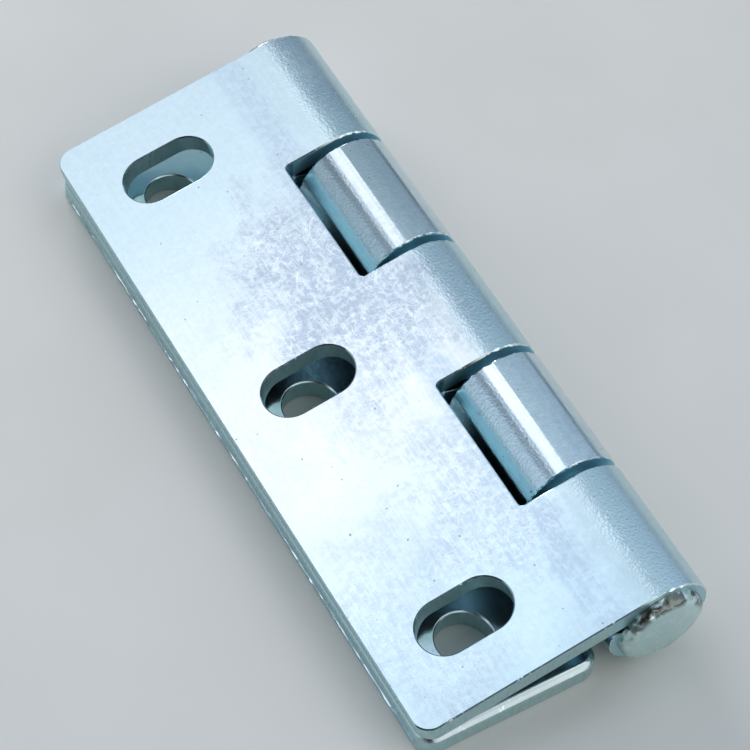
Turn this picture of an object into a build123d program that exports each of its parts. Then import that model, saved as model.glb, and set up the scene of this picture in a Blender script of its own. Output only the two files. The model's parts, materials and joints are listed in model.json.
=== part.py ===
"""Heavy electrical cabinet hinge: two rolled sheet leaves on a pin that is headed over at both ends.

Frame: +Z up, the hinge lies shut on the outer face of its lower leaf (z = 0).
The origin is the middle bolt hole of that face, X runs across the leaves towards the barrel,
and Y runs along the pin. All sizes are in millimetres.
"""
import os
from math import asin, atan2, cos, degrees, hypot, sin

from build123d import *

# Sheet and leaves
hinge_length = 120.0
leaf_reach = 40.0
sheet_thickness = 4.0
corner_radius = 3.0
upper_roll_over = 0.4
lower_roll_over = 0.9
edge_break = 0.2

# Pin and its heads
pin_diameter = 9.0
running_clearance = 0.05
head_diameter = 14.4
head_height = 1.9
head_rounding = 0.9

# Knuckles, rolled from the leaves
knuckle_spacing = 48.0
lower_knuckle_width = 22.0
knuckle_gap = 1.5
notch_clearance = 0.45
notch_radius = 0.8
curl_gap = 0.4

# Bolt holes of the lower leaf and slots of the upper leaf
hole_line = 25.5
hole_pitch = 47.0
hole_diameter = 9.0
slot_line = 25.1
slot_width = 9.0
slot_length = 15.6

# Gap left between the free edges when the hinge is shut
shut_gap = 0.2

# Values that follow from the sizes above
bore_radius = pin_diameter / 2 + running_clearance
barrel_radius = bore_radius + sheet_thickness
notch_reach = barrel_radius + notch_clearance
cut_depth = 2 * barrel_radius
pin_centre = Vector(hole_line, 0, barrel_radius)

# The curl stops where its outer edge comes within the curl gap of the sheet's inner face
curl_end_rise = degrees(asin((bore_radius - curl_gap) / barrel_radius))
curl_angle = 270 + curl_end_rise

# The leaves shut past parallel, until the upper free edge meets the lower leaf
shut_angle = atan2(bore_radius, leaf_reach)
shut_angle += asin((bore_radius - shut_gap) / hypot(leaf_reach, bore_radius))

# Planes through the pin centre, parallel to each leaf, with z pointing out of its outer face
lower_flat = Plane(pin_centre, x_dir=(1, 0, 0), z_dir=(0, 0, -1))
upper_flat = Plane(
    pin_centre,
    x_dir=(cos(shut_angle), 0, sin(shut_angle)),
    z_dir=(-sin(shut_angle), 0, cos(shut_angle)),
)

# Where the lower leaf's two knuckles begin and end, counted from the middle of the pin
lower_knuckle_inside = (knuckle_spacing - lower_knuckle_width) / 2
lower_knuckle_outside = (knuckle_spacing + lower_knuckle_width) / 2

# Each notch is a start and an end along the pin
upper_notches = [
    (-lower_knuckle_outside - knuckle_gap, -lower_knuckle_inside + knuckle_gap),
    (lower_knuckle_inside - knuckle_gap, lower_knuckle_outside + knuckle_gap),
]
past_the_end = hinge_length / 2 + 2 * notch_radius
lower_notches = [
    (-past_the_end, -lower_knuckle_outside),
    (-lower_knuckle_inside, lower_knuckle_inside),
    (lower_knuckle_outside, past_the_end),
]

os.makedirs("parts", exist_ok=True)


def sheet_faces(leaf, flat):
    """The inner and the outer face of a leaf's sheet."""
    outward = Axis(flat.origin, flat.z_dir)
    return leaf.faces().filter_by(outward).sort_by(outward)


def edges_clear_of_curl(face, flat):
    """The edges round a sheet face, without the lines where its curl begins."""
    return face.edges().filter_by(lambda edge: flat.to_local_coords(edge.center()).X < -edge_break)


def rolled_leaf(flat, notches, roll_over):
    """A sheet with one long edge rolled round the pin and notched for the other leaf's knuckles."""
    section = Plane(flat.origin, x_dir=flat.x_dir, z_dir=flat.x_dir.cross(flat.z_dir))
    with BuildPart() as leaf:
        with BuildSketch(section):
            with BuildLine():
                outer_line = Line((-leaf_reach, barrel_radius), (0, barrel_radius))
                outer_curl = CenterArc((0, 0), barrel_radius, 90, -curl_angle)
                inner_curl = CenterArc((0, 0), bore_radius, 90, -curl_angle)
                Line(outer_curl @ 1, inner_curl @ 1)
                inner_line = Line((0, bore_radius), (-leaf_reach, bore_radius))
                Line(inner_line @ 1, outer_line @ 0)
            make_face()
        extrude(amount=hinge_length / 2, both=True)

        # Notches cut in from the rolled edge, with rounded inner corners
        with BuildSketch(flat) as gaps:
            for start, end in notches:
                with Locations((-notch_reach, (start + end) / 2)):
                    Rectangle(notch_reach + cut_depth, end - start, align=(Align.MIN, Align.CENTER))
            fillet(gaps.vertices().group_by(Axis.X)[0], notch_radius)
        extrude(amount=cut_depth, both=True, mode=Mode.SUBTRACT)

        # Rounded corners of the sheet, at both ends of the hinge
        through_sheet = leaf.edges().filter_by(Axis(flat.origin, flat.z_dir)).group_by(Axis.Y)
        fillet(through_sheet[0] + through_sheet[-1], corner_radius)

        # Inner edges, which the shears pull over further than the outer ones
        inner_face = sheet_faces(leaf, flat)[0]
        chamfer(edges_clear_of_curl(inner_face, flat), roll_over)
    return leaf.part


def break_edges(leaf, flat):
    """Breaks the outer edges of a leaf's sheet and the rims of its holes."""
    inner_face, outer_face = sheet_faces(leaf, flat)
    inner_rims = inner_face.inner_wires().edges()
    chamfer(edges_clear_of_curl(outer_face, flat) + inner_rims, edge_break)


# Upper leaf, with oblong slots that let the door be set sideways
with BuildPart() as upper_leaf:
    add(rolled_leaf(upper_flat, upper_notches, upper_roll_over))
    with BuildSketch(upper_flat):
        with Locations((-slot_line, 0)):
            with GridLocations(0, hole_pitch, 1, 3):
                SlotOverall(slot_length, slot_width)
    extrude(amount=cut_depth, mode=Mode.SUBTRACT)
    break_edges(upper_leaf, upper_flat)
upper_leaf.part.label = "upper_leaf"

# Lower leaf, with plain round holes
with BuildPart() as lower_leaf:
    add(rolled_leaf(lower_flat, lower_notches, lower_roll_over))
    with BuildSketch(lower_flat):
        with Locations((-hole_line, 0)):
            with GridLocations(0, hole_pitch, 1, 3):
                Circle(hole_diameter / 2)
    extrude(amount=cut_depth, mode=Mode.SUBTRACT)
    break_edges(lower_leaf, lower_flat)
lower_leaf.part.label = "lower_leaf"

# Pin through all the knuckles, headed over against both end knuckles
with BuildPart() as hinge_pin:
    with BuildSketch(Plane(pin_centre, x_dir=(0, 1, 0), z_dir=(1, 0, 0))):
        Rectangle(hinge_length, pin_diameter / 2, align=(Align.CENTER, Align.MIN))
        with Locations((-hinge_length / 2, 0)):
            Rectangle(head_height, head_diameter / 2, align=(Align.MAX, Align.MIN))
        with Locations((hinge_length / 2, 0)):
            Rectangle(head_height, head_diameter / 2, align=(Align.MIN, Align.MIN))
    revolve(axis=Axis(pin_centre, (0, 1, 0)))
    head_faces = hinge_pin.faces().filter_by(Axis.Y).sort_by(Axis.Y)
    fillet(head_faces[0].edges() + head_faces[-1].edges(), head_rounding)
hinge_pin.part.label = "hinge_pin"

export_step(upper_leaf.part, "parts/upper_leaf.step")
export_step(lower_leaf.part, "parts/lower_leaf.step")
export_step(hinge_pin.part, "parts/hinge_pin.step")
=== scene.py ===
"""Looks of the shut cabinet hinge: blue-white zinc plate on two rolled leaves and a peened pin."""
import json
from math import hypot, pi, radians

import bmesh
import bpy
from mathutils import Matrix, Vector


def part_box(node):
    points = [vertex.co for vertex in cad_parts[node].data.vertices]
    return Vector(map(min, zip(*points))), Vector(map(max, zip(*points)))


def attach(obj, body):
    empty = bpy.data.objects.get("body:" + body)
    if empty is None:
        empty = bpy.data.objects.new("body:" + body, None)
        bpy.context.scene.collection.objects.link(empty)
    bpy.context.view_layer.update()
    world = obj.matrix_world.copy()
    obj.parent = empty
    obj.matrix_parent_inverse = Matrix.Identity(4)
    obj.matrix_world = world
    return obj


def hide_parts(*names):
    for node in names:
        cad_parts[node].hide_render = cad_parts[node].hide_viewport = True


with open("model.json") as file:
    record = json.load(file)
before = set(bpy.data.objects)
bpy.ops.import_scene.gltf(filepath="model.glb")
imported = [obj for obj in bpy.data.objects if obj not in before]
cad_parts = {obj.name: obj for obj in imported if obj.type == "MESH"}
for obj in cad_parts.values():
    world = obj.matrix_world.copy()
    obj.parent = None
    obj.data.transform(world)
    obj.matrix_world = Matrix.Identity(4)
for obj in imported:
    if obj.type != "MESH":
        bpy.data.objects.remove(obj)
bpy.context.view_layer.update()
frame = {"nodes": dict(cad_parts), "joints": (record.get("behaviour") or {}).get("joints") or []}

MM = 0.001

# Camera of the photograph, in the hinge's frame
CAMERA_PLACE = Vector((-0.12969, -0.19528, 0.34714))
CAMERA_RIGHT = Vector((0.86438, -0.49749, 0.07309))
CAMERA_UP = Vector((0.37272, 0.73148, 0.57098))
CAMERA_BACK = Vector((-0.33752, -0.46631, 0.81770))
CAMERA_LENS_MM = 126.85
CAMERA_SENSOR_MM = 36
CAMERA_CLIP_START = 0.01

# Places of the hinge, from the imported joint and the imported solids
PIN_PLACE = Vector(frame["joints"][0]["pos_m"])
LEAF_LOW, LEAF_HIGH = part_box("upper_leaf")
PIN_LOW, PIN_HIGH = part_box("hinge_pin")
HINGE_LENGTH = LEAF_HIGH[1] - LEAF_LOW[1]
BARREL_RADIUS = LEAF_HIGH[0] - PIN_PLACE.x
HEAD_RADIUS = (PIN_HIGH[0] - PIN_LOW[0]) / 2
HEAD_HEIGHT = (PIN_HIGH[1] - PIN_LOW[1] - HINGE_LENGTH) / 2

# Pin, and the dents that a hammer leaves in its heads
SHAFT_RADIUS = 4.5 * MM
SHAFT_SIDES = 120
HEAD_ROUNDING = 1.4 * MM
FLAT_OF_HEAD = HEAD_RADIUS - HEAD_ROUNDING
HAMMER_DEPTH = 0.65 * MM
HAMMER_SIZE = 1.7 * MM
HAMMER_MIDDLE = 0.6
HAMMER_LEAST = 0.15
HAMMER_CLEAR = 0.1 * MM

# Edges of the sheet
RIM_ROUNDING = 0.22 * MM
ROLL_OVER_ROUNDING = 0.55 * MM
ROLL_OVER_END = 0.28 * MM
HOLE_ROUNDING = 0.1 * MM
MERGE_DISTANCE = 0.001 * MM
FLAT_ANGLE = radians(0.4)
SMOOTH_ANGLE = radians(40)
RIM_ANGLE = radians(60)

# Ragged rims that the shears leave at the ends of the knuckles
RAGGED_DEPTH = 0.55 * MM
RAGGED_SIZE = 0.45 * MM
RAGGED_CUTS = 2

# Burr that the shears leave along the lower leaf's free edge
BURR_LOW = 1.15 * MM
BURR_HIGH = 1.30 * MM
BURR_DEPTH = 0.14 * MM
BURR_DROP = 0.3 * BURR_DEPTH
BURR_RAGGED = 0.8 * BURR_DEPTH
BURR_EVENNESS = 0.3
BURR_CUTS = 110
BURR_SEED = 4

# Depths of the fine unevenness
UPPER_STREAK_DEPTH = 0.080 * MM
LOWER_STREAK_DEPTH = 0.016 * MM
SCUFF_DEPTH = 0.030 * MM
GRAIN_DEPTH = 0.0012 * MM
SHEAR_DEPTH = 0.006 * MM
CLOUD_DEPTH = 0.04 * MM
PIN_GRAIN_DEPTH = 0.002 * MM
PIN_DENT_DEPTH = 0.10 * MM

# Roughness of the plating, and what the bend, the haze and the cut faces add to it
UPPER_ROUGHNESS = 0.19
LOWER_ROUGHNESS = 0.15
PIN_ROUGHNESS = (0.20, 0.30)
BEND_DULLNESS = 0.07
HAZE_DULLNESS = 0.08
CUT_DULLNESS = 0.20

# Where effects come and go across the sheet, in millimetres from the pin's centre
FLAT_SHEET = (-8.8, -9.2)
NOTCH_DEPTH = (-14.0, -11.0)
# Where the painted shade on the near rims fades out towards the knuckles
RIM_SHADE_END = (-2.0, -5.0)
BEND_START = (-4.0, -0.5)
BEND_END = (2.5, 6.0)
DULL_START = (-7.0, -2.5)
SCUFF_START = (-9.2, -8.6)
SCUFF_END = (-2.8, -4.6)
# Where the painted highlight on the top leaf's middle fades out towards the bend
SHEEN_END = (-1.0, -4.0)
PRESS_LINE = -9.3
PRESS_WIDTH = 4.2

# Where they come and go along the pin
NEAR_END = (-58.0, -56.0)
# Where the painted shade over the far head comes in
FAR_HEAD_SHADE = (59.5, 60.5)
# Where the painted highlight on the top leaf's middle lies along the pin
SHEEN_MIDDLE = -5.0
SHEEN_REACH = (46.0, 2.0)

# Where the painted dark reflection on the pin's heads comes in, outwards from its axis and upwards
HEAD_SHADE_REACH = (5.6, 6.6)
HEAD_SHADE_HEIGHT = (1.0, 3.5)

# Colours of the plating, as reflected light
ZINC = (0.58, 0.78, 0.82, 1)
# Painted highlight: a whiter tone laid on the top leaf's middle
ZINC_PAINTED_SHEEN = (0.70, 0.82, 0.82, 1)
ZINC_LOWER = (0.68, 0.84, 0.87, 1)
ZINC_HAZE = (0.44, 0.56, 0.655, 1)
# Colour of the hairlines, also laid on the knuckles' end rims as a painted highlight
ZINC_HAIRLINE_AND_RIM_HIGHLIGHT = (0.74, 0.87, 0.88, 1)
ZINC_EDGE = (0.50, 0.70, 0.72, 1)
ZINC_END = (0.45, 0.68, 0.74, 1)
# Painted shade: a dark line on the top leaf's near rim
ZINC_NEAR_RIM_SHADE = (0.04, 0.07, 0.09, 1)
ZINC_EDGE_DARK = (0.26, 0.42, 0.43, 1)
ZINC_BAND = (0.44, 0.60, 0.70, 1)
# Painted shade: a greyer tone that dims the lower leaf's near roll-over strip
ZINC_ROLL_OVER_SHADE = (0.38, 0.45, 0.47, 1)
# Painted shade and painted reflections in the notches: darker walls, bluer end faces and lighter back
# walls
ZINC_NOTCH_SHADE = (0.20, 0.40, 0.52, 1)
ZINC_NOTCH_END_REFLECTION = (0.38, 0.68, 0.80, 1)
ZINC_NOTCH_BACK_REFLECTION = (0.60, 0.90, 0.97, 1)
ZINC_SPECK = (0.30, 0.34, 0.38, 1)
ZINC_PIN = (0.66, 0.86, 0.84, 1)
# Painted shade and dark reflection on the pin's heads
ZINC_PIN_SHADE = (0.13, 0.14, 0.13, 1)

# Where the top leaf is rubbed, in millimetres from the pin's centre:
# the middle in x and y, the half widths in x and y, and the strength
RUBBED_PLACES = [
    (-14, 13, 19, 28, 1.20),
    (-15, -32, 15, 23, 0.60),
    (-34, -48, 16, 26, 0.48),
    (-25, -12, 9, 9, 0.35),
    (-2, 2, 6, 12, 0.55),
    (1, 56, 5, 14, 0.80),
]
RUBBED_LEAST = 0.18

# Layers of hairlines: their turn in degrees, and how far apart and how long they are in millimetres
HAIRLINE_LAYERS = [
    (12, 0.8, 9.0), (41, 1.1, 8.0), (73, 0.9, 10.0), (104, 1.2, 7.0), (131, 1.0, 9.0), (163, 1.0, 9.0),
]

# Floor, and its tones, with painted shade that darkens its near side
FLOOR_SIZE = 3.0
FLOOR_DROP = 0.05 * MM
FLOOR_ROUGHNESS = 0.6
FLOOR_NEAR_SHADED = (0.74, 0.77, 0.76, 1)
FLOOR_FAR_LIT = (0.77, 0.785, 0.77, 1)
FLOOR_PATCH = (0.68, 0.69, 0.675, 1)

# Tones of the room, each laid over the ones before it: the axis along which a direction is measured,
# where the tone comes in, where it is full, its colour, and how it is laid
ROOM_FIRST_TONE = (0.57, 0.675, 0.83, 1)
ROOM_TONES = [
    ("Y", 0.34, 0.56, (0.29, 0.35, 0.42, 1), "MIX"),
    ("X", 0.65, 0.30, (1.16, 1.13, 1.10, 1), "MULTIPLY"),
    ("X", 0.68, 0.92, (0.88, 0.87, 0.88, 1), "MULTIPLY"),
    ("Y", 0.20, -0.20, (0.60, 0.64, 0.68, 1), "MIX"),
    ("Z", 0.17, 0.02, (0.05, 0.10, 0.15, 1), "MIX"),
]
ROOM_STRIPE = (0.55, 0.54, 0.55, 1)
ROOM_STRIPE_MIDDLE = -0.51
ROOM_STRIPE_WIDTH = 0.15
ROOM_LEFT = (0.22, 0.35, 0.36, 1)
ROOM_BY_CAMERA = (0.04, 0.035, 0.03, 1)

# How far the ceiling lamps are turned from the hinge's length
CEILING_TURN = radians(-14)

# Lamps: the name, the place and the size in metres, the watts, the colour and the turn
LAMPS = [
    ("ceiling", (-0.122, 0.464, 0.80), (0.378, 0.472), 0.433, (0.97, 0.85, 0.92), CEILING_TURN),
    ("ceiling_middle", (-0.085, 0.42, 0.79), (0.32, 0.19), 0.065, (1.0, 0.78, 0.64), CEILING_TURN),
    ("front", (0.33, -0.84, 0.78), (1.6, 1.3), 4.7, (1.0, 0.96, 0.90), 0.0),
    ("back", (-0.10, 0.95, 0.42), (0.9, 0.3), 5.6, (1.0, 0.97, 0.93), 0.0),
]


# Small helpers for shader nodes

def add_node(tree, kind, values=None, **settings):
    """A shader node with its settings, and with its inputs set or linked."""
    node = tree.nodes.new("ShaderNode" + kind)
    for name, setting in settings.items():
        setattr(node, name, setting)
    for name, value in (values or {}).items():
        if isinstance(value, bpy.types.NodeSocket):
            tree.links.new(value, node.inputs[name])
        else:
            node.inputs[name].default_value = value
    return node


def work_out(tree, operation, first, second=0.0):
    """One step of arithmetic on values."""
    return add_node(tree, "Math", {0: first, 1: second}, operation=operation).outputs[0]


def times(tree, value, *factors):
    """A value multiplied by others."""
    for factor in factors:
        value = work_out(tree, "MULTIPLY", value, factor)
    return value


def fade(tree, value, start, end, low=0.0, high=1.0):
    """A smooth change from low to high while a value goes from start to end."""
    values = {"Value": value, "From Min": start, "From Max": end, "To Min": low, "To Max": high}
    return add_node(tree, "MapRange", values, interpolation_type="SMOOTHSTEP").outputs["Result"]


def tint(tree, share, first, second, blend="MIX"):
    """The first colour, turned into the second, or multiplied by it, by a share."""
    values = {0: share, 6: first, 7: second}
    return add_node(tree, "Mix", values, data_type="RGBA", blend_type=blend).outputs[2]


def noise(tree, place, scale, detail=2.0, stretch=(1, 1, 1)):
    """Noise of so many lumps a millimetre, times the stretch along each axis."""
    stretched = add_node(tree, "Mapping", {"Vector": place, "Scale": stretch}).outputs[0]
    values = {"Vector": stretched, "Scale": scale, "Detail": detail}
    return add_node(tree, "TexNoise", values).outputs[0]


def wander(tree, place, scale, reach):
    """Places that stray from their own by up to a reach in millimetres, so that straight lines bend."""
    values = {"Vector": place, "Scale": scale, "Detail": 2.0}
    stray = add_node(tree, "TexNoise", values).outputs["Color"]
    values = {0: stray, 1: (2 * reach, 2 * reach, 2 * reach), 2: place}
    return add_node(tree, "VectorMath", values, operation="MULTIPLY_ADD").outputs[0]


def stripe(tree, value, middle, half_width):
    """A soft stripe where a value lies near its middle."""
    offset = work_out(tree, "ABSOLUTE", work_out(tree, "SUBTRACT", value, middle))
    return fade(tree, offset, half_width, 0.3 * half_width)


def start_group(name, outputs):
    """An empty node group that reads a place in millimetres."""
    group = bpy.data.node_groups.new(name, "ShaderNodeTree")
    group.interface.new_socket("Place", in_out="INPUT", socket_type="NodeSocketVector")
    for output in outputs:
        group.interface.new_socket(output, in_out="OUTPUT", socket_type="NodeSocketFloat")
    place = group.nodes.new("NodeGroupInput").outputs["Place"]
    return group, place, group.nodes.new("NodeGroupOutput").inputs


def use_group(tree, group, place):
    """A group's outputs inside a material."""
    node = tree.nodes.new("ShaderNodeGroup")
    node.node_tree = group
    tree.links.new(place, node.inputs["Place"])
    return node.outputs


# Effects that the materials share

def make_hairlines():
    """Fine criss-cross scratches, the cloudy patches that they sit in, and streaks along the sheet."""
    group, place, out = start_group("hairlines", ["Lines", "Patches", "Drawn"])
    bent = wander(group, place, 0.30, 0.15)
    lines = None
    for turn, width, length in HAIRLINE_LAYERS:
        values = {"Vector": bent, "Rotation": (0, 0, radians(turn)), "Scale": (width, length, 1)}
        laid = add_node(group, "Mapping", values, vector_type="TEXTURE").outputs[0]
        cells = add_node(group, "TexVoronoi", {"Vector": laid, "Scale": 1.0},
                         feature="DISTANCE_TO_EDGE", voronoi_dimensions="2D")
        line = fade(group, cells.outputs["Distance"], 0.01, 0.06 / width, 1.0, 0.0)
        breaks = fade(group, noise(group, place, 0.35 + turn / 400, 2.0), 0.46, 0.62)
        line = times(group, line, breaks)
        lines = line if lines is None else work_out(group, "MAXIMUM", lines, line)
    group.links.new(lines, out["Lines"])
    group.links.new(fade(group, noise(group, bent, 0.9, 8.0), 0.34, 0.62), out["Patches"])
    drawn = noise(group, bent, 1.0, 4.0, (2.2, 0.09, 2.2))
    group.links.new(fade(group, drawn, 0.36, 0.62), out["Drawn"])
    return group


def make_plating():
    """Cloudy and fine unevenness of the zinc, and tiny pits."""
    group, place, out = start_group("plating", ["Cloud", "Grain", "Pits"])
    ragged = wander(group, place, 1.2, 0.35)
    cells = add_node(group, "TexVoronoi", {"Vector": ragged, "Scale": 0.30}, voronoi_dimensions="2D")
    chosen = add_node(group, "SeparateColor", {"Color": cells.outputs["Color"]}).outputs[0]
    size = fade(group, chosen, 0.72, 1.0, 0.0, 0.060)
    pits = fade(group, work_out(group, "SUBTRACT", size, cells.outputs["Distance"]), 0.0, 0.03)
    group.links.new(noise(group, place, 0.09, 4.0), out["Cloud"])
    group.links.new(noise(group, place, 4.5, 3.0), out["Grain"])
    group.links.new(pits, out["Pits"])
    return group


def make_bend_grain():
    """Grain that rolling leaves on the bend, and where the bend is strong, dull or scuffed."""
    group, place, out = start_group("bend_grain", ["Streaks", "Bent", "Dull", "Scuffed"])
    across = add_node(group, "SeparateXYZ", {"Vector": place}).outputs["X"]
    bent = times(group, fade(group, across, *BEND_START), fade(group, across, *BEND_END, 1.0, 0.15))
    scuffed = times(group, fade(group, across, *SCUFF_END), fade(group, across, *SCUFF_START))
    group.links.new(noise(group, place, 2.8, 1.0, (1.0, 0.8, 1.0)), out["Streaks"])
    group.links.new(bent, out["Bent"])
    group.links.new(fade(group, across, *DULL_START), out["Dull"])
    group.links.new(scuffed, out["Scuffed"])
    return group


def make_sheared_edge():
    """Cut faces of the sheet and of the knuckles, the streaks of the cut, painted shade and reflections
    in the notches, painted shade on the near rims and painted highlights on the knuckles' end rims.
    """
    outputs = ["Wall", "End", "Notch Shading", "Notch Back Reflection", "Streaks", "Near Rim Shade", "End Rim Highlight"]
    group, place, out = start_group("sheared_edge", outputs)
    facing = add_node(group, "TexCoord").outputs["Normal"]
    facing = add_node(group, "SeparateXYZ", {"Vector": facing}).outputs
    endways = work_out(group, "ABSOLUTE", facing["Y"])
    upwards = work_out(group, "ABSOLUTE", facing["Z"])
    spot = add_node(group, "SeparateXYZ", {"Vector": place}).outputs
    flat = fade(group, spot["X"], *FLAT_SHEET)
    rolled = work_out(group, "SUBTRACT", 1.0, flat)
    # Where the notches get painted shade and painted reflections
    notch_shading = times(group, fade(group, spot["X"], *NOTCH_DEPTH), fade(group, spot["Y"], *NEAR_END))
    # Noise that breaks up the painted shade and highlights on the rims
    rim_breaks = fade(group, noise(group, place, 1.1, 3.0), 0.29, 0.40)
    # Painted shade on the rims that face the near end
    near_rim_shade = times(
        group, fade(group, upwards, 0.97, 0.90), fade(group, upwards, 0.30, 0.50),
        fade(group, facing["Y"], -0.15, -0.30), fade(group, spot["X"], *RIM_SHADE_END), rim_breaks)
    # Painted highlight on the knuckles' end rims, broken by noise
    end_rim_highlight = times(
        group, fade(group, endways, 0.25, 0.45), fade(group, endways, 0.95, 0.80), rolled, rim_breaks)
    group.links.new(times(group, flat, fade(group, upwards, 0.75, 0.40)), out["Wall"])
    group.links.new(times(group, rolled, fade(group, endways, 0.60, 0.85)), out["End"])
    group.links.new(notch_shading, out["Notch Shading"])
    group.links.new(times(group, notch_shading, fade(group, facing["X"], 0.60, 0.85)), out["Notch Back Reflection"])
    group.links.new(noise(group, place, 1.0, 3.0, (1.6, 1.6, 0.5)), out["Streaks"])
    group.links.new(near_rim_shade, out["Near Rim Shade"])
    group.links.new(end_rim_highlight, out["End Rim Highlight"])
    return group


def start_material(name):
    """A metal material, and places on it in millimetres from the pin's centre."""
    material = bpy.data.materials.new(name)
    material.use_nodes = True
    tree = material.node_tree
    shader = tree.nodes["Principled BSDF"]
    shader.inputs["Metallic"].default_value = 1.0
    rest = add_node(tree, "TexCoord").outputs["Object"]
    values = {"Vector": rest, "Location": PIN_PLACE, "Scale": (MM, MM, MM)}
    place = add_node(tree, "Mapping", values, vector_type="TEXTURE").outputs[0]
    return material, tree, shader, place


def rubbed_share(tree, place):
    """How far each place of the top leaf lies inside a rubbed area."""
    share = RUBBED_LEAST
    ragged = fade(tree, noise(tree, place, 0.12, 5.0), 0.3, 0.7, -0.24, 0.24)
    for middle_x, middle_y, half_x, half_y, strength in RUBBED_PLACES:
        values = {"Vector": place, "Location": (middle_x, middle_y, 0), "Scale": (half_x, half_y, 40)}
        inside = add_node(tree, "Mapping", values, vector_type="TEXTURE").outputs[0]
        reach = add_node(tree, "VectorMath", {0: inside}, operation="LENGTH").outputs["Value"]
        spot = fade(tree, work_out(tree, "ADD", reach, ragged), 1.20, 0.25, 0.0, strength)
        share = work_out(tree, "MAXIMUM", spot, share)
    return share


def add_bump(tree, height, depth, normal=None):
    """Bump of so many metres over a height from 0 to 1, on top of another bump."""
    values = {"Height": height, "Distance": depth, "Strength": 1.0}
    if normal is not None:
        values["Normal"] = normal
    return add_node(tree, "Bump", values).outputs[0]


def add_shares(tree, value, *shares):
    """A value with shares of other values added to it."""
    for other, share in shares:
        value = work_out(tree, "ADD", value, times(tree, other, share))
    return value


def sheen_and_press_marks(tree, colour, place, cloud, lines):
    """A painted highlight that whitens the top leaf's middle, and the dull band that the press leaves
    beside the bend.
    """
    spot = add_node(tree, "SeparateXYZ", {"Vector": place}).outputs
    off_middle = work_out(tree, "ABSOLUTE", work_out(tree, "SUBTRACT", spot["Y"], SHEEN_MIDDLE))
    # Painted highlight: a whiter tone on the top leaf's middle, fading towards the ends and the bend
    white = times(tree, fade(tree, off_middle, *SHEEN_REACH), fade(tree, spot["X"], *SHEEN_END))
    band = times(
        tree, stripe(tree, spot["X"], PRESS_LINE, PRESS_WIDTH), fade(tree, cloud, 0.3, 0.6, 0.50, 0.90),
        fade(tree, lines["Drawn"], 0.0, 1.0, 0.75, 1.0),
        fade(tree, lines["Patches"], 0.0, 1.0, 0.60, 1.0))
    return tint(tree, band, tint(tree, white, colour, ZINC_PAINTED_SHEEN), ZINC_BAND)


def leaf_zinc(name, top, roughness, streak_depth):
    """Blue-white zinc on a rolled leaf: clouds, hairlines, pits, bend grain and duller cut faces."""
    material, tree, shader, place = start_material(name)
    lines = use_group(tree, HAIRLINES, place)
    plating = use_group(tree, PLATING, place)
    bend = use_group(tree, BEND_GRAIN, place)
    cut = use_group(tree, SHEARED_EDGE, place)

    # Colour, from the clean plate to its wear, with painted highlights, reflections and shade laid over
    # it
    if top:
        rubbed = rubbed_share(tree, place)
        plate = sheen_and_press_marks(tree, ZINC, place, plating["Cloud"], lines)
        # Painted shade for the near rims: dark on the top leaf, greyer on the lower leaf's roll-over
        rim = ZINC_NEAR_RIM_SHADE
        rim_shade_share = 0.95
    else:
        rubbed = fade(tree, plating["Cloud"], 0.2, 0.8, 0.15, 0.45)
        plate = ZINC_LOWER
        rim = ZINC_ROLL_OVER_SHADE
        rim_shade_share = 0.70
    haze = times(
        tree, fade(tree, lines["Patches"], 0.0, 1.0, 0.48, 1.05), rubbed,
        fade(tree, lines["Drawn"], 0.0, 1.0, 0.75, 1.1))
    scratch = times(tree, lines["Lines"], fade(tree, rubbed, 0.0, 1.0, 0.10, 0.72))
    wall = tint(tree, fade(tree, cut["Streaks"], 0.42, 0.70, 0.0, 0.30), ZINC_EDGE, ZINC_EDGE_DARK)
    # Painted shade on the notch walls, painted reflections on their back walls and end faces
    wall = tint(tree, cut["Notch Shading"], wall, ZINC_NOTCH_SHADE)
    wall = tint(tree, cut["Notch Back Reflection"], wall, ZINC_NOTCH_BACK_REFLECTION)
    end = tint(tree, cut["Notch Shading"], ZINC_END, ZINC_NOTCH_END_REFLECTION)
    colour = tint(tree, haze, plate, ZINC_HAZE)
    colour = tint(tree, scratch, colour, ZINC_HAIRLINE_AND_RIM_HIGHLIGHT)
    colour = tint(tree, cut["Wall"], colour, wall)
    colour = tint(tree, cut["End"], colour, end)
    # Painted highlight: a lighter colour on the knuckles' end rims
    colour = tint(tree, cut["End Rim Highlight"], colour, ZINC_HAIRLINE_AND_RIM_HIGHLIGHT)
    # Painted shade on the rims that face the near end
    colour = tint(tree, times(tree, cut["Near Rim Shade"], rim_shade_share), colour, rim)
    colour = tint(tree, plating["Pits"], colour, ZINC_SPECK)
    tree.links.new(colour, shader.inputs["Base Color"])

    # Roughness
    rough = fade(tree, plating["Cloud"], 0.3, 0.7, roughness - 0.02, roughness + 0.04)
    if top:
        rough = add_shares(tree, rough, (bend["Dull"], BEND_DULLNESS))
    rough = add_shares(
        tree, rough, (haze, HAZE_DULLNESS), (cut["Wall"], CUT_DULLNESS), (cut["End"], CUT_DULLNESS))
    tree.links.new(rough, shader.inputs["Roughness"])

    # Unevenness, from fine to broad
    normal = add_bump(tree, times(tree, bend["Streaks"], bend["Bent"]), streak_depth)
    if not top:
        normal = add_bump(tree, times(tree, bend["Streaks"], bend["Scuffed"]), SCUFF_DEPTH, normal)
    normal = add_bump(tree, plating["Grain"], GRAIN_DEPTH, normal)
    normal = add_bump(tree, times(tree, cut["Streaks"], cut["Wall"]), SHEAR_DEPTH, normal)
    normal = add_bump(tree, plating["Cloud"], CLOUD_DEPTH, normal)
    tree.links.new(normal, shader.inputs["Normal"])
    return material


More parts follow.
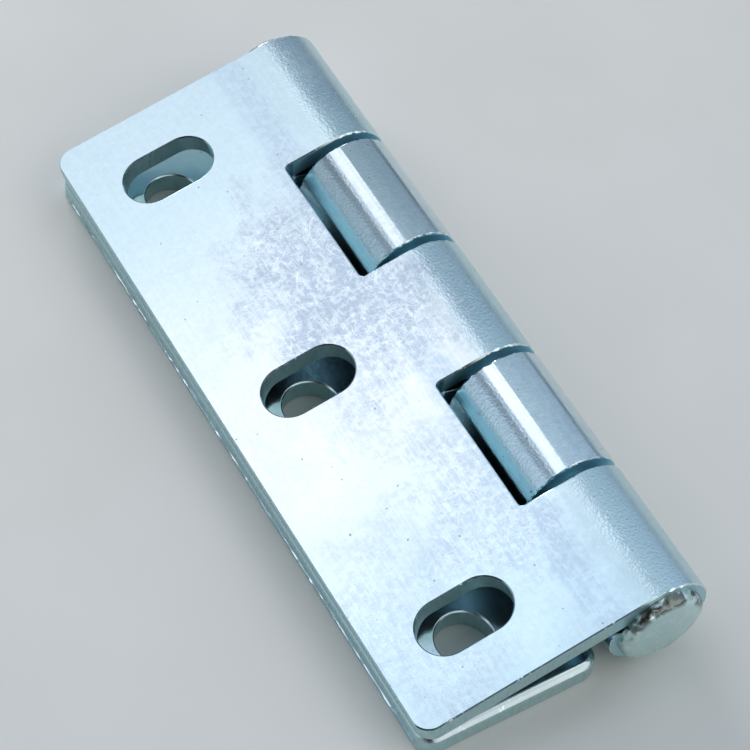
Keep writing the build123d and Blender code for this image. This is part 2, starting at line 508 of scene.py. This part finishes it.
def pin_zinc():
    """Zinc on the peened pin: green-grey, with a patchy painted dark reflection on the upper rims of
    its heads and painted shade over the far head.
    """
    material, tree, shader, place = start_material("pin_zinc_plate")
    plating = use_group(tree, PLATING, place)
    lines = use_group(tree, HAIRLINES, place)
    spot = add_node(tree, "SeparateXYZ", {"Vector": place}).outputs
    outwards = add_node(tree, "VectorMath", {0: place, 1: (1, 0, 1)}, operation="MULTIPLY").outputs[0]
    reach = add_node(tree, "VectorMath", {0: outwards}, operation="LENGTH").outputs["Value"]
    # Painted dark reflection, in patches, on the upper rims of the heads
    head_shade = times(
        tree, fade(tree, noise(tree, place, 0.45, 3.0), 0.44, 0.54, 0.0, 0.9),
        fade(tree, reach, *HEAD_SHADE_REACH), fade(tree, spot["Z"], *HEAD_SHADE_HEIGHT, 0.15, 1.0))
    # Painted shade over the far head
    head_shade = work_out(tree, "MAXIMUM", head_shade, fade(tree, spot["Y"], *FAR_HEAD_SHADE, 0.0, 0.35))
    colour = tint(tree, times(tree, lines["Patches"], 0.25), ZINC_PIN, ZINC_HAZE)
    colour = tint(tree, head_shade, colour, ZINC_PIN_SHADE)
    tree.links.new(colour, shader.inputs["Base Color"])
    rough = fade(tree, plating["Cloud"], 0.3, 0.7, *PIN_ROUGHNESS)
    tree.links.new(rough, shader.inputs["Roughness"])
    normal = add_bump(tree, plating["Grain"], PIN_GRAIN_DEPTH)
    normal = add_bump(tree, noise(tree, place, 0.5, 2.0), PIN_DENT_DEPTH, normal)
    tree.links.new(normal, shader.inputs["Normal"])
    return material


# Pieces

def choose(piece, kind, test):
    """Selects the faces or edges of a piece in edit mode that pass a test."""
    bpy.ops.mesh.select_mode(type="FACE" if kind == "faces" else "EDGE")
    bpy.ops.mesh.select_all(action="DESELECT")
    edit = bmesh.from_edit_mesh(piece.data)
    for part in getattr(edit, kind):
        part.select_set(test(part))
    edit.select_flush_mode()
    bmesh.update_edit_mesh(piece.data)


def open_alone(piece):
    """Selects one piece and opens it in edit mode."""
    bpy.ops.object.select_all(action="DESELECT")
    piece.select_set(True)
    bpy.context.view_layer.objects.active = piece
    bpy.ops.object.mode_set(mode="EDIT")


def finish_piece(piece, node, body, material):
    """Gives a piece its material and its place in the hinge."""
    piece.data.materials.clear()
    piece.data.materials.append(material)
    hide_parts(node)
    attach(piece, body)


def round_inner_edges(leaf):
    """Rounds the lower leaf's pulled-over edges and hole rims, where they leave its flat face."""

    def is_slanted(face):
        return 0.6 < face.normal.z < 0.8

    def height_of(face):
        heights = [point.co.z for point in face.verts]
        return max(heights) - min(heights)

    def depth_beside(edge):
        faces = sorted(edge.link_faces, key=lambda face: face.normal.z)
        leaves_flat = faces[-1].normal.z > 0.99 and is_slanted(faces[0])
        return height_of(faces[0]) if leaves_flat else 0.0

    def ends_roll_over(edge):
        faces = sorted(edge.link_faces, key=lambda face: face.normal.z)
        meets_wall = is_slanted(faces[-1]) and abs(faces[0].normal.z) < 0.1
        return meets_wall and height_of(faces[-1]) > ROLL_OVER_END

    choose(leaf, "edges", ends_roll_over)
    bpy.ops.mesh.bevel(offset=ROLL_OVER_END, segments=3, affect="EDGES")
    choose(leaf, "edges", lambda edge: depth_beside(edge) > ROLL_OVER_END)
    bpy.ops.mesh.bevel(offset=ROLL_OVER_ROUNDING, segments=5, affect="EDGES")
    choose(leaf, "edges", lambda edge: HOLE_ROUNDING < depth_beside(edge) < ROLL_OVER_END)
    bpy.ops.mesh.bevel(offset=HOLE_ROUNDING, segments=3, affect="EDGES")


def roughen_knuckles(leaf):
    """Ragged outer rims at the ends of the knuckles, as the shears leave them."""

    def on_rim(face):
        middle = face.calc_center_median()
        reach = hypot(middle.x - PIN_PLACE.x, middle.z - PIN_PLACE.z)
        return 0.30 < abs(face.normal.y) < 0.97 and abs(reach - BARREL_RADIUS) < 2 * RIM_ROUNDING

    def along_rim(edge):
        level = abs(edge.verts[0].co.y - edge.verts[1].co.y) < MERGE_DISTANCE
        return level and any(on_rim(face) for face in edge.link_faces)

    open_alone(leaf)
    choose(leaf, "edges", along_rim)
    bpy.ops.mesh.subdivide(number_cuts=RAGGED_CUTS)
    choose(leaf, "faces", on_rim)
    bpy.ops.object.vertex_group_assign_new()
    bpy.ops.object.mode_set(mode="OBJECT")
    bites = bpy.data.textures.new("shear_bites", "CLOUDS")
    bites.noise_scale = RAGGED_SIZE
    ragged = leaf.modifiers.new("ragged", "DISPLACE")
    ragged.texture = bites
    ragged.texture_coords = "LOCAL"
    ragged.vertex_group = leaf.vertex_groups[-1].name
    ragged.direction = "Y"
    ragged.strength = RAGGED_DEPTH
    bpy.ops.object.modifier_apply(modifier="ragged")


def raise_burr(leaf):
    """A ragged ridge along the free edge of the lower leaf, drawn out of its cut face."""
    low_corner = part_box("lower_leaf")[0]

    def on_free_edge(part):
        return all(abs(point.co.x - low_corner[0]) < MERGE_DISTANCE for point in part.verts)

    def on_strip(part):
        return on_free_edge(part) and BURR_LOW < part.calc_center_median().z < BURR_HIGH

    def along_strip(edge):
        heights = [point.co.z for point in edge.verts]
        level = max(heights) - min(heights) < MERGE_DISTANCE
        off_strip = min(abs(heights[0] - rim) for rim in (BURR_LOW, BURR_HIGH))
        return on_free_edge(edge) and level and off_strip < MERGE_DISTANCE

    open_alone(leaf)
    for height in (BURR_LOW, BURR_HIGH):
        choose(leaf, "faces", on_free_edge)
        bpy.ops.mesh.bisect(plane_co=(0, 0, height), plane_no=(0, 0, 1))
    choose(leaf, "edges", along_strip)
    bpy.ops.mesh.subdivide(number_cuts=BURR_CUTS)
    choose(leaf, "faces", on_strip)
    shift = (-BURR_DEPTH, 0, -BURR_DROP)
    bpy.ops.mesh.extrude_region_move(TRANSFORM_OT_translate={"value": shift})
    bpy.ops.transform.vertex_random(offset=BURR_RAGGED, uniform=BURR_EVENNESS, seed=BURR_SEED)
    bpy.ops.object.mode_set(mode="OBJECT")


def add_plated_leaf(node, body, material):
    """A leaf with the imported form, merged into clean faces, with the rims of its knuckles rounded."""
    leaf = bpy.data.objects.new(node + "_plated", frame["nodes"][node].data.copy())
    bpy.context.scene.collection.objects.link(leaf)
    open_alone(leaf)
    bpy.ops.mesh.select_all(action="SELECT")
    bpy.ops.mesh.remove_doubles(threshold=MERGE_DISTANCE)
    bpy.ops.mesh.customdata_custom_splitnormals_clear()
    bpy.ops.mesh.dissolve_limited(angle_limit=FLAT_ANGLE)
    if node == "lower_leaf":
        round_inner_edges(leaf)
    bpy.ops.object.mode_set(mode="OBJECT")
    bpy.ops.object.shade_smooth_by_angle(angle=SMOOTH_ANGLE)
    rims = leaf.modifiers.new("rims", "BEVEL")
    rims.width = RIM_ROUNDING
    rims.segments = 2
    rims.limit_method = "ANGLE"
    rims.angle_limit = RIM_ANGLE
    bpy.ops.object.modifier_apply(modifier="rims")
    roughen_knuckles(leaf)
    if node == "lower_leaf":
        raise_burr(leaf)
    bpy.ops.object.shade_smooth_by_angle(angle=SMOOTH_ANGLE)
    shade = leaf.modifiers.new("shade", "WEIGHTED_NORMAL")
    shade.keep_sharp = True
    bpy.ops.object.modifier_apply(modifier="shade")
    finish_piece(leaf, node, body, material)


def hammer_rims(pin):
    """Dents the rounded rims of both heads, as a hammer leaves them."""
    rims = pin.vertex_groups.new(name="rims")
    for point in pin.data.vertices:
        reach = (Vector((point.co.x, 0, point.co.z)) - Vector((PIN_PLACE.x, 0, PIN_PLACE.z))).length
        past_sheet = abs(point.co.y) - HINGE_LENGTH / 2
        if past_sheet > HAMMER_CLEAR:
            rimward = min(1.0, max(0.0, (reach - FLAT_OF_HEAD) / (HEAD_RADIUS - FLAT_OF_HEAD)))
            rims.add([point.index], HAMMER_LEAST + (1 - HAMMER_LEAST) * rimward, "REPLACE")
    blows = bpy.data.textures.new("hammer_blows", "CLOUDS")
    blows.noise_scale = HAMMER_SIZE
    blows.noise_depth = 2
    dents = pin.modifiers.new("dents", "DISPLACE")
    dents.texture = blows
    dents.texture_coords = "LOCAL"
    dents.vertex_group = "rims"
    dents.strength = HAMMER_DEPTH
    dents.mid_level = HAMMER_MIDDLE
    bpy.context.view_layer.objects.active = pin
    bpy.ops.object.modifier_apply(modifier="dents")


def add_peened_pin(material):
    """The pin, with both ends hammered over into uneven heads."""

    def lies_at(part, y):
        return all(abs(point.co.y - y) < MERGE_DISTANCE for point in part.verts)

    bpy.ops.object.select_all(action="DESELECT")
    bpy.ops.mesh.primitive_cylinder_add(
        vertices=SHAFT_SIDES, radius=SHAFT_RADIUS, depth=HINGE_LENGTH,
        location=PIN_PLACE, rotation=(pi / 2, 0, 0))
    pin = bpy.context.object
    pin.name = "peened_pin"
    bpy.ops.object.transform_apply(location=True, rotation=True, scale=True)
    open_alone(pin)
    widen = HEAD_RADIUS / SHAFT_RADIUS
    for side in (-1, 1):
        head_end = side * (HINGE_LENGTH / 2 + HEAD_HEIGHT)
        shaft_end = side * HINGE_LENGTH / 2
        choose(pin, "faces", lambda face: lies_at(face, shaft_end))
        bpy.ops.mesh.extrude_region_move()
        bpy.ops.transform.resize(value=(widen, 1, widen))
        bpy.ops.mesh.extrude_region_move(TRANSFORM_OT_translate={"value": (0, side * HEAD_HEIGHT, 0)})
        choose(pin, "edges", lambda edge: lies_at(edge, head_end))
        bpy.ops.mesh.bevel(offset=HEAD_ROUNDING, segments=6, affect="EDGES")
    bpy.ops.object.mode_set(mode="OBJECT")
    hammer_rims(pin)
    bpy.ops.object.shade_smooth_by_angle(angle=SMOOTH_ANGLE)
    finish_piece(pin, "hinge_pin", "door_leaf", material)


# Stage

def add_camera():
    """The photograph's view."""
    data = bpy.data.cameras.new("photo_camera")
    data.lens = CAMERA_LENS_MM
    data.sensor_width = CAMERA_SENSOR_MM
    data.clip_start = CAMERA_CLIP_START
    camera = bpy.data.objects.new("photo_camera", data)
    bpy.context.scene.collection.objects.link(camera)
    turn = Matrix((CAMERA_RIGHT, CAMERA_UP, CAMERA_BACK)).transposed()
    camera.matrix_world = Matrix.Translation(CAMERA_PLACE) @ turn.to_4x4()
    bpy.context.scene.camera = camera


def add_softbox(name, place, size, watts, colour, turn):
    """A flat lamp that looks at the hinge, turned in its own plane."""
    data = bpy.data.lights.new(name, "AREA")
    data.shape = "RECTANGLE"
    data.size, data.size_y = size
    data.energy = watts
    data.color = colour
    lamp = bpy.data.objects.new(name, data)
    bpy.context.scene.collection.objects.link(lamp)
    aim = (-Vector(place)).to_track_quat("-Z", "Y")
    aim = aim.to_matrix().to_4x4() @ Matrix.Rotation(turn, 4, "Z")
    lamp.matrix_world = Matrix.Translation(place) @ aim


def add_floor():
    """A pale floor, with a little unevenness in its tone and painted shade that darkens it towards the
    near side.
    """
    bpy.ops.object.select_all(action="DESELECT")
    bpy.ops.mesh.primitive_plane_add(size=FLOOR_SIZE, location=(0, 0, -FLOOR_DROP))
    floor = bpy.context.object
    floor.name = "floor"
    material = bpy.data.materials.new("floor_pale")
    material.use_nodes = True
    tree = material.node_tree
    shader = tree.nodes["Principled BSDF"]
    shader.inputs["Roughness"].default_value = FLOOR_ROUGHNESS
    place = add_node(tree, "TexCoord").outputs["Object"]
    spot = add_node(tree, "SeparateXYZ", {"Vector": place}).outputs
    # Painted shade: the floor darker towards the near side
    tone = tint(tree, fade(tree, spot["Y"], -0.12, 0.08), FLOOR_NEAR_SHADED, FLOOR_FAR_LIT)
    patchy = fade(tree, noise(tree, place, 30.0), 0.3, 0.7, 0.0, 0.3)
    tree.links.new(tint(tree, patchy, tone, FLOOR_PATCH), shader.inputs["Base Color"])
    floor.data.materials.append(material)


def add_room():
    """Soft light from all round: cool grey-blue, dark at the horizon and where the camera stands."""
    world = bpy.data.worlds.new("room")
    bpy.context.scene.world = world
    world.use_nodes = True
    tree = world.node_tree
    ray = add_node(tree, "TexCoord").outputs["Generated"]
    towards = add_node(tree, "SeparateXYZ", {"Vector": ray}).outputs
    colour = ROOM_FIRST_TONE
    for axis, start, full, tone, blend in ROOM_TONES:
        colour = tint(tree, fade(tree, towards[axis], start, full), colour, tone, blend)
    beside = stripe(tree, towards["X"], ROOM_STRIPE_MIDDLE, ROOM_STRIPE_WIDTH)
    colour = tint(tree, beside, colour, ROOM_STRIPE, "MULTIPLY")
    left = times(tree, fade(tree, towards["X"], -0.60, -0.85), fade(tree, towards["Z"], 0.34, 0.08))
    colour = tint(tree, left, colour, ROOM_LEFT)
    values = {0: ray, 1: CAMERA_BACK}
    facing = add_node(tree, "VectorMath", values, operation="DOT_PRODUCT").outputs["Value"]
    colour = tint(tree, fade(tree, facing, 0.68, 0.88), colour, ROOM_BY_CAMERA)
    tree.links.new(colour, tree.nodes["Background"].inputs["Color"])


HAIRLINES = make_hairlines()
PLATING = make_plating()
BEND_GRAIN = make_bend_grain()
SHEARED_EDGE = make_sheared_edge()

upper_zinc = leaf_zinc("upper_zinc_plate", True, UPPER_ROUGHNESS, UPPER_STREAK_DEPTH)
lower_zinc = leaf_zinc("lower_zinc_plate", False, LOWER_ROUGHNESS, LOWER_STREAK_DEPTH)
add_plated_leaf("upper_leaf", "door_leaf", upper_zinc)
add_plated_leaf("lower_leaf", "cabinet_leaf", lower_zinc)
add_peened_pin(pin_zinc())

add_camera()
add_floor()
add_room()
for lamp in LAMPS:
    add_softbox(*lamp)
bpy.context.scene.view_settings.view_transform = "Standard"
